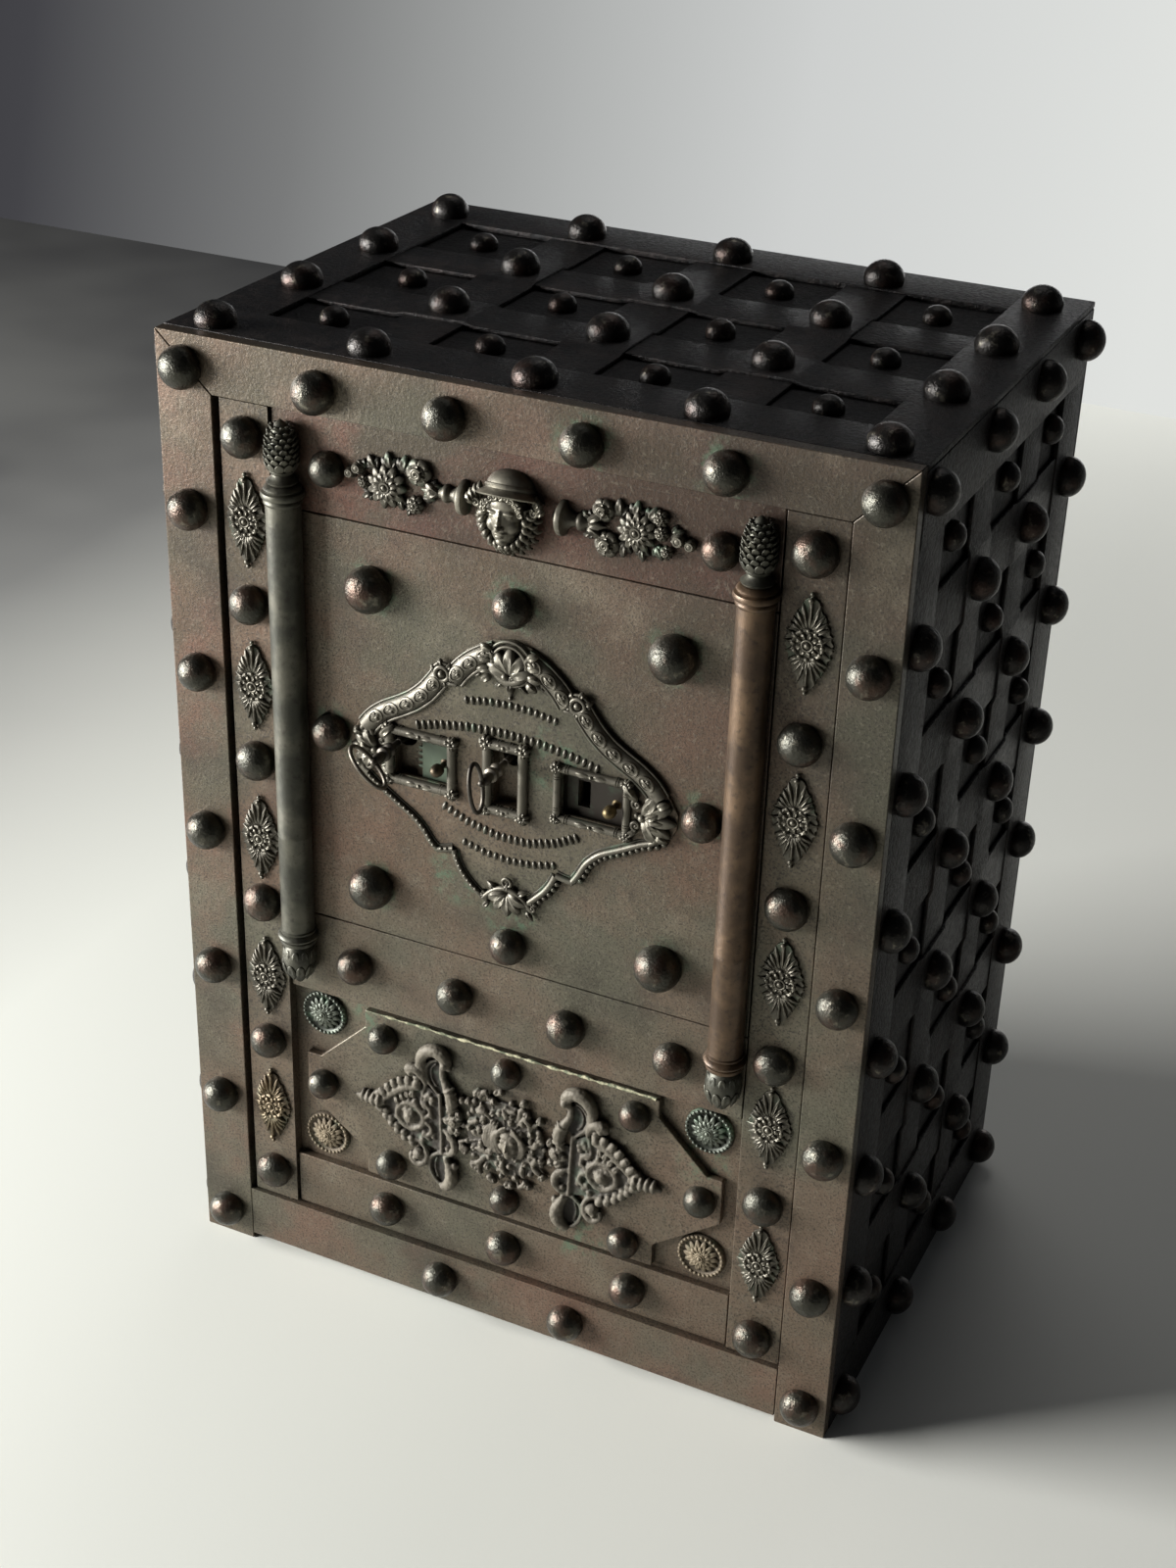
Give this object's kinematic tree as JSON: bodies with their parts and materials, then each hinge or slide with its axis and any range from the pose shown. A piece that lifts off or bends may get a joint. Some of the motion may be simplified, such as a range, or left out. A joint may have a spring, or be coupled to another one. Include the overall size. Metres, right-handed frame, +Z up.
{
  "type": "iron strongbox",
  "caption": "Upright iron strongbox: a studded, strapped iron case with a pivoted door that carries columns, cast mounts, lock windows, keys and sliding bolts.",
  "frame": {"origin": "middle of the footprint, on the floor under the bottom plate", "axes": "+X to the right of the door as it is seen, +Y to the back, +Z up"},
  "size_m": [0.532, 0.4212, 0.73],
  "materials": {
    "casing_iron": "pitted black iron plate",
    "strap_iron": "worn black iron straps with burnished studs",
    "front_patina": "brown grey patina with green bloom round the studs",
    "filling": "packed filling, hidden",
    "bronze": "grey green cast bronze, bright on the high points",
    "gilt_bronze": "worn gilding on cast bronze",
    "copper": "worn coppery brown",
    "lock_steel": "dull steel",
    "brass": "aged brass"
  },
  "bodies": {
    "case": {"casing_left_plate": "casing_iron", "casing_right_plate": "casing_iron", "casing_top_plate": "casing_iron", "casing_bottom_plate": "casing_iron", "casing_back_plate": "casing_iron", "insulating_filling": "filling", "inner_lining": "casing_iron", "shelf": "casing_iron", "right_strap_lattice": "strap_iron", "left_strap_lattice": "strap_iron", "top_strap_lattice": "strap_iron", "back_strap_lattice": "strap_iron", "front_frame_left": "front_patina", "front_frame_right": "front_patina", "front_frame_top": "front_patina", "front_frame_bottom": "front_patina"},
    "door": {"door_backing_plate": "front_patina", "left_stile": "front_patina", "right_stile": "front_patina", "frieze_plate": "front_patina", "centre_plate": "front_patina", "lower_rail": "front_patina", "bottom_rail": "front_patina", "raised_lower_plate": "front_patina", "left_column": "bronze", "left_pine_cone_finial": "bronze", "right_column": "copper", "right_pine_cone_finial": "bronze", "cartouche": "bronze", "lock_plate": "lock_steel", "door_bolt_pan": "lock_steel", "left_lozenge_1": "gilt_bronze", "left_lozenge_2": "bronze", "left_lozenge_3": "bronze", "left_lozenge_4": "bronze", "left_lozenge_5": "bronze", "right_lozenge_1": "bronze", "right_lozenge_2": "bronze", "right_lozenge_3": "bronze", "right_lozenge_4": "bronze", "right_lozenge_5": "bronze", "upper_left_rosette": "bronze", "upper_right_rosette": "bronze", "lower_left_rosette": "gilt_bronze", "lower_right_rosette": "gilt_bronze", "helmeted_head": "bronze", "left_flower_spray": "bronze", "right_flower_spray": "bronze", "scroll_cluster_mount": "bronze", "left_scroll_mount": "bronze", "right_scroll_mount": "bronze"},
    "side_bolts": {"side_bolt_bar": "lock_steel"},
    "top_bolt": {"top_bolt_rod": "lock_steel"},
    "bottom_bolt": {"bottom_bolt_rod": "lock_steel"},
    "left_barrel": {"left_lock_barrel": "brass"},
    "middle_barrel": {"middle_lock_barrel": "brass"},
    "left_key": {"left_key": "lock_steel"},
    "middle_key": {"middle_key": "lock_steel"},
    "left_cover": {"left_window_cover": "bronze"},
    "right_cover": {"right_window_cover": "bronze"}
  },
  "joints": [
    {"name": "door_pivot", "type": "hinge", "parent": "case", "child": "door", "pos_m": [-0.181, -0.18, 0.365], "axis": [0, 0, -1], "range_deg": [0, 110]},
    {"name": "side_bolts_slide", "type": "slide", "parent": "door", "child": "side_bolts", "axis": [1, 0, 0], "range_m": [0, 0.014]},
    {"name": "bottom_bolt_slide", "type": "slide", "parent": "door", "child": "bottom_bolt", "axis": [0, 0, -1], "range_m": [0, 0.014]},
    {"name": "top_bolt_slide", "type": "slide", "parent": "door", "child": "top_bolt", "axis": [0, 0, 1], "range_m": [0, 0.014]},
    {"name": "left_barrel_turn", "type": "hinge", "parent": "door", "child": "left_barrel", "pos_m": [-0.08, -0.16, 0.467], "axis": [0, -1, 0], "range_deg": [0, 90]},
    {"name": "middle_barrel_turn", "type": "hinge", "parent": "door", "child": "middle_barrel", "pos_m": [-0.001, -0.16, 0.472], "axis": [0, -1, 0], "range_deg": [0, 90]},
    {"name": "left_key_pull", "type": "slide", "parent": "left_barrel", "child": "left_key", "axis": [0, -1, 0], "range_m": [0, 0.06]},
    {"name": "middle_key_pull", "type": "slide", "parent": "middle_barrel", "child": "middle_key", "axis": [0, -1, 0], "range_m": [0, 0.06]},
    {"name": "left_cover_slide", "type": "slide", "parent": "door", "child": "left_cover", "axis": [-1, 0, 0], "range_m": [0, 0.0055]},
    {"name": "right_cover_slide", "type": "slide", "parent": "door", "child": "right_cover", "axis": [-1, 0, 0], "range_m": [0, 0.01]}
  ],
  "couplings": [
    {"joint": "top_bolt_slide", "follows": "bottom_bolt_slide", "ratio": 1},
    {"joint": "left_barrel_turn", "follows": "bottom_bolt_slide", "rad_per_m": 112.19},
    {"joint": "middle_barrel_turn", "follows": "side_bolts_slide", "rad_per_m": 112.19}
  ]
}
